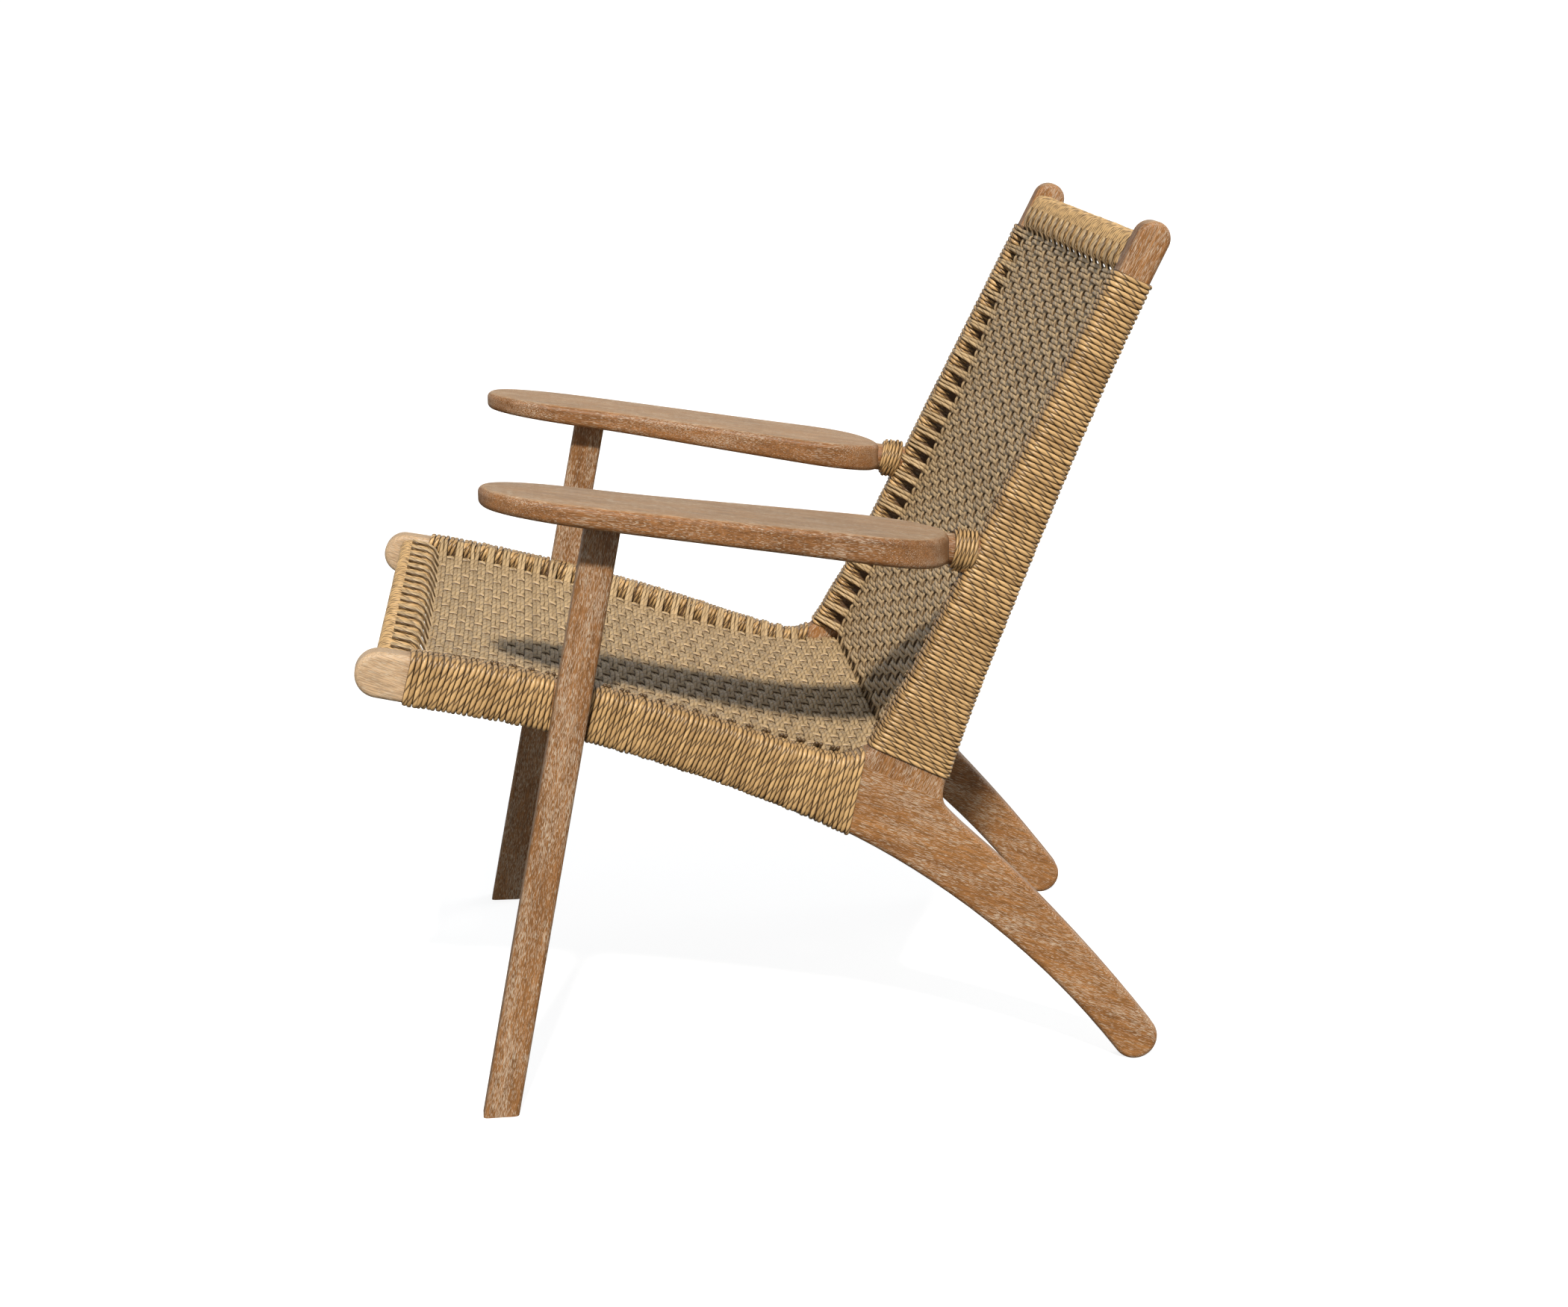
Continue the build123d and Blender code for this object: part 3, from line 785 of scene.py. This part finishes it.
class Seat:
    """Places run back along y. Heights are up from the weave's middle surface."""

    name, node = "seat", "seat_weave"
    start, stop, pitch = 0.0560, 0.4690, 0.0041
    gather, end_width = 0.0002, 0.0040  # how the pairs draw in at the frames
    weft_wave, warp_wave = 0.0015, 0.0008  # how far each rises and falls
    sag, sag_from, sag_over = 0.010, 0.140, 0.220
    hug = 0.96  # how much of the way to the frame's faces the wefts' ends go
    rear_rail, rear_rise = 0.436, 0.0018  # on the rear rail the wefts stay level
    edge = staticmethod(smooth((55, 395), (150, 373.5), (245, 341.5), (340, 309.3), (462, 290.5)))
    top = staticmethod(smooth((45, 410.8), (127, 394.4), (241, 362), (330, 331.2), (430, 301.4)))
    low = staticmethod(smooth((45, 366.5), (110, 349.7), (229, 313.4), (330, 273.1), (428, 224.8)))
    # the warps come over the front rail and go down behind the rear one
    lead_in = [(30, 411.8), (38, 409.7), (45.9, 407.4), (51.6, 403.2), (54.2, 397.5)]
    lead_out = [(471.0, 284.0), (472.0, 276.0), (471.0, 268.0)]

    @staticmethod
    def side_y(place):
        return place

    @classmethod
    def middle(cls, x, place):
        fade = np.clip((place - cls.sag_from) / cls.sag_over, 0, 1)
        sag = cls.sag * (1 - fade * fade * (3 - 2 * fade))
        z = cls.edge(place) - sag * dish(x, place)
        ahead = 1e-4
        slope = (cls.edge(place + ahead) - cls.edge(place)) / ahead
        up = unit(np.stack([0 * x, -slope, np.ones_like(x)], -1))
        return np.stack([x, place - FRONT_SHIFT, z], -1), up

    @classmethod
    def rise(cls, place):
        if place > cls.rear_rail:
            return cls.rear_rise, -cls.rear_rise
        edge = cls.edge(place)
        return cls.hug * (cls.top(place) - edge), cls.hug * (cls.low(place) - edge)

    @staticmethod
    def lead_point(x, point):
        y, z = point
        return np.array([x, y * MM - FRONT_SHIFT, z * MM])


class Back:
    """Places run up along the post. Heights are forward from the middle surface."""

    name, node = "back", "back_weave"
    start, stop, pitch = 0.4820, 0.9425, 0.00437
    gather, end_width = 0.0005, 0.0035
    weft_wave, warp_wave = 0.0019, 0.0014
    edge = staticmethod(smooth((487, 282.5), (600, 286), (715, 285.8), (830, 279.2), (944, 271.3)))
    front = staticmethod(smooth((475, 253.3), (530, 260.0), (620, 262.3), (780, 262.3), (950, 262.3)))
    rear = staticmethod(smooth((500, 331.7), (620, 318.8), (750, 308.4), (950, 299.2)))
    hollow = 0.002  # how far the middle sits behind the sides
    side_square = 0.283
    lead_in = [(287.0, 464.0), (285.5, 472.0)]
    lead_out = [(269.0, 944.8), (265.0, 947.5), (263.1, 955.0), (263.1, 966.0)]

    @staticmethod
    def side_y(place):
        return post_yz(Back.side_square, place)[0]

    @classmethod
    def middle(cls, x, place):
        square = cls.edge(place) + cls.hollow * dish(x, cls.side_y(place))
        y, z = post_yz(square, place)
        forward = np.array([0.0, -math.cos(POST_LEAN), math.sin(POST_LEAN)])
        return np.stack([x, y - FRONT_SHIFT, z], -1), np.broadcast_to(forward, (len(x), 3))

    @classmethod
    def rise(cls, place):
        return cls.edge(place) - cls.front(place), cls.edge(place) - cls.rear(place)

    @staticmethod
    def lead_point(x, point):
        y, z = post_yz(point[0] * MM, point[1] * MM)
        return np.array([x, y - FRONT_SHIFT, z])


def weft_places(panel):
    """Even places measured along the weave's own length."""
    fine = np.linspace(panel.start, panel.stop, 2000)
    line, _ = panel.middle(np.zeros_like(fine), fine)
    length = run_length(line)
    count = 2 * round(length[-1] / panel.pitch / 2)
    return np.interp((np.arange(count) + 0.5) / count * length[-1], length, fine)


def weft_end(panel, place, reach, over):
    """x and height of a weft's last points, from the outer warp to the frame's corner."""
    high, low = panel.rise(place)
    tall = high if over else low
    sign = 1 if over else -1
    if abs(tall) < 0.004:
        x = reach - EDGE + np.array([0.35, 0.7, 1.0, 1.15]) * EDGE
        return x, np.array([0.8, 0.5, 0.3, 0.3]) * tall
    corner = tall - sign * 0.0022
    t = np.array([0.15, 0.35, 0.6, 0.85, 1.0])
    x = reach - EDGE + t * (EDGE + 0.0012)
    height = sign * panel.weft_wave + (corner - sign * panel.weft_wave) * t**1.15
    x = np.append(x, [reach + 0.0032, reach + 0.0065])
    height = np.append(height, [tall - sign * 0.0006, tall - sign * 0.0002])
    return x, height


def weave(panel):
    """Wefts in pairs over and under pairs of warps."""
    places = weft_places(panel)
    wefts = CordMesh(6)
    for index, place in enumerate(places):
        sign = 1 if (index // 2) % 2 == 0 else -1
        reach = inner_reach(panel.side_y(place))
        outer = reach - EDGE
        step = 2 * outer / (WARPS - 1)
        body = np.linspace(-outer, outer, WEFT_STEPS * (WARPS - 1) + 1)
        wave = np.cos(math.pi * (body + outer) / step)
        wave = np.sign(wave) * np.abs(wave) ** 0.8
        end_x, end_height = weft_end(panel, place, reach, sign < 0)
        start_x, start_height = weft_end(panel, place, reach, sign > 0)
        x = np.concatenate([-start_x[::-1], body, end_x])
        height = np.concatenate([start_height[::-1], sign * panel.weft_wave * wave, end_height])
        loose = np.clip((np.abs(x) - outer) / EDGE, 0, 1)
        twin = index % 2 - 0.5
        pinch = PINCH * np.cos(2 * math.pi * (x + outer) / step) * (1 - loose)
        pinch = pinch + panel.gather * loose
        along = place - twin * 2 * pinch + rng.normal(0, WEFT_SCATTER)
        along = along + rng.normal(0, END_SCATTER) * loose
        points, up = panel.middle(np.clip(x, -reach, reach), along)
        points[:, 0] = x
        width = WEFT_WIDTH * (1 - loose) + panel.end_width * loose
        lifted = points + up * height[:, None]
        wefts.add(lifted, up, width, WEFT_HEIGHT, rng.uniform(*PANEL_TONES))
    keep(wefts.build(panel.name + "_weft", cord_weave), "woven_cord", panel.node)

    warps = CordMesh(8)
    pairs = (places[0::2] + places[1::2]) / 2
    order = np.arange(len(pairs))
    fine = np.arange(panel.start + 0.0015, panel.stop - 0.0010, WARP_STEP)
    spot = np.interp(fine, pairs, order, left=-0.5, right=len(pairs) - 0.5)
    for k in range(WARPS):
        lane = (k - (WARPS - 1) / 2) * 2 / (WARPS - 1)
        for twin in (-1, 1):
            outer = inner_reach(panel.side_y(fine)) - EDGE
            x = lane * outer + twin * WARP_TWIN + rng.normal(0, WARP_SCATTER)
            height = -panel.warp_wave * np.cos(math.pi * spot) * (1 if k % 2 == 0 else -1)
            points, up = panel.middle(x, fine)
            points = points + up * height[:, None]
            before = [panel.lead_point(x[0], p) for p in panel.lead_in]
            after = [panel.lead_point(x[-1], p) for p in panel.lead_out]
            path = np.array(before + list(points) + after)
            first, last = np.repeat(up[:1], len(before), 0), np.repeat(up[-1:], len(after), 0)
            side = np.concatenate([first, up, last])
            warps.add(path, side, WARP_WIDTH, WARP_HEIGHT, rng.uniform(*PANEL_TONES))
    keep(warps.build(panel.name + "_warp", cord_weave), "woven_cord", panel.node)


def lanes(y):
    """The warps' places across the chair at a side-view y."""
    return (np.arange(WARPS) - (WARPS - 1) / 2) * 2 / (WARPS - 1) * (inner_reach(y) - EDGE)


weave(Seat)
weave(Back)
cross_rail("front_seat_rail", 0.0035, 8, lanes(0.052) + 0.008, 0.0060)
top_y = post_yz(0.270, 0.950)[0]
under_front = (0.0, -1.0, -0.6)
cross_rail("back_top_rail", 0.0036, 8, lanes(top_y) + 0.008, 0.0100, under_front)
cross_rail("rear_seat_rail", 0.0035, 6)
cross_rail("back_lower_rail", 0.0035, 6)


# ------------------------------------------------------------- floor, light, camera
def floor_material():
    """Grey that glows, so that it looks plain white."""
    nodes = Nodes("floor")
    nodes.shader.inputs["Base Color"].default_value = (0.35, 0.35, 0.35, 1)
    nodes.shader.inputs["Roughness"].default_value = 0.95
    nodes.shader.inputs["Emission Color"].default_value = (1, 1, 1, 1)
    nodes.shader.inputs["Emission Strength"].default_value = 0.85
    return nodes.material


SKY_LIGHT = (0.33, 0.36, 0.39)
GROUND_LIGHT = (0.17, 0.15, 0.12)


def sky_world():
    """A pale horizon between a slightly blue sky and a dim brown ground."""
    world = bpy.data.worlds.new("sky")
    world.use_nodes = True
    tree = world.node_tree
    coord = tree.nodes.new("ShaderNodeTexCoord")
    split = tree.nodes.new("ShaderNodeSeparateXYZ")
    tree.links.new(coord.outputs["Generated"], split.inputs[0])
    ramp = tree.nodes.new("ShaderNodeValToRGB")
    stops = [
        (0.38, GROUND_LIGHT),
        (0.455, GROUND_LIGHT),
        (0.475, (1.05, 1.05, 1.05)),
        (0.515, (1.05, 1.05, 1.05)),
        (0.57, SKY_LIGHT),
    ]
    while len(ramp.color_ramp.elements) < len(stops):
        ramp.color_ramp.elements.new(0.5)
    for element, (place, colour) in zip(ramp.color_ramp.elements, stops):
        element.position = place
        element.color = (*colour, 1)
    half = tree.nodes.new("ShaderNodeMath")
    half.operation = "MULTIPLY_ADD"
    half.inputs[1].default_value = 0.5
    half.inputs[2].default_value = 0.5
    tree.links.new(split.outputs[2], half.inputs[0])
    tree.links.new(half.outputs[0], ramp.inputs[0])
    tree.links.new(ramp.outputs[0], tree.nodes["Background"].inputs["Color"])
    return world


floor_mesh = bpy.data.meshes.new("floor")
FLOOR = 30.0  # from the middle to each edge
corners = [(-FLOOR, -FLOOR, 0), (FLOOR, -FLOOR, 0), (FLOOR, FLOOR, 0), (-FLOOR, FLOOR, 0)]
floor_mesh.from_pydata(corners, [], [(0, 1, 2, 3)])
floor_mesh.materials.append(floor_material())
floor = bpy.data.objects.new("floor", floor_mesh)
bpy.context.scene.collection.objects.link(floor)
# the white floor is only a backdrop: it lights nothing on the chair
floor.visible_diffuse = False
floor.visible_glossy = False

bpy.context.scene.world = sky_world()


def add_sun(name, towards, energy, softness, colour):
    data = bpy.data.lights.new(name, "SUN")
    data.energy = energy
    data.angle = math.radians(softness)
    data.color = colour
    light = bpy.data.objects.new(name, data)
    light.rotation_euler = Vector(towards).to_track_quat("Z", "Y").to_euler()
    bpy.context.scene.collection.objects.link(light)


add_sun("key", (1.12, -0.02, 1.0), 4.3, 4.5, (1.0, 0.94, 0.85))
add_sun("fill", (-0.5, 1.0, 0.35), 1.0, 40.0, (1.0, 0.97, 0.92))

CAMERA_PLACE = Vector((2.6772, -0.18405, 0.9599))
CAMERA_YAW, CAMERA_PITCH, CAMERA_ROLL = (math.radians(a) for a in (4.792, 13.140, -1.199))
look = Vector(
    (
        -math.cos(CAMERA_YAW) * math.cos(CAMERA_PITCH),
        math.sin(CAMERA_YAW) * math.cos(CAMERA_PITCH),
        -math.sin(CAMERA_PITCH),
    )
)
level = look.cross(Vector((0, 0, 1))).normalized()
upright = level.cross(look)
right = math.cos(CAMERA_ROLL) * level + math.sin(CAMERA_ROLL) * upright
top = -math.sin(CAMERA_ROLL) * level + math.cos(CAMERA_ROLL) * upright
camera_data = bpy.data.cameras.new("camera")
camera_data.sensor_width = 36.0
camera_data.lens = 65.263
camera_data.shift_x = -0.002
camera = bpy.data.objects.new("camera", camera_data)
axes = Matrix((right, top, -look)).transposed()
camera.matrix_world = Matrix.Translation(CAMERA_PLACE) @ axes.to_4x4()
bpy.context.scene.collection.objects.link(camera)
bpy.context.scene.camera = camera
bpy.context.scene.view_settings.view_transform = "Standard"
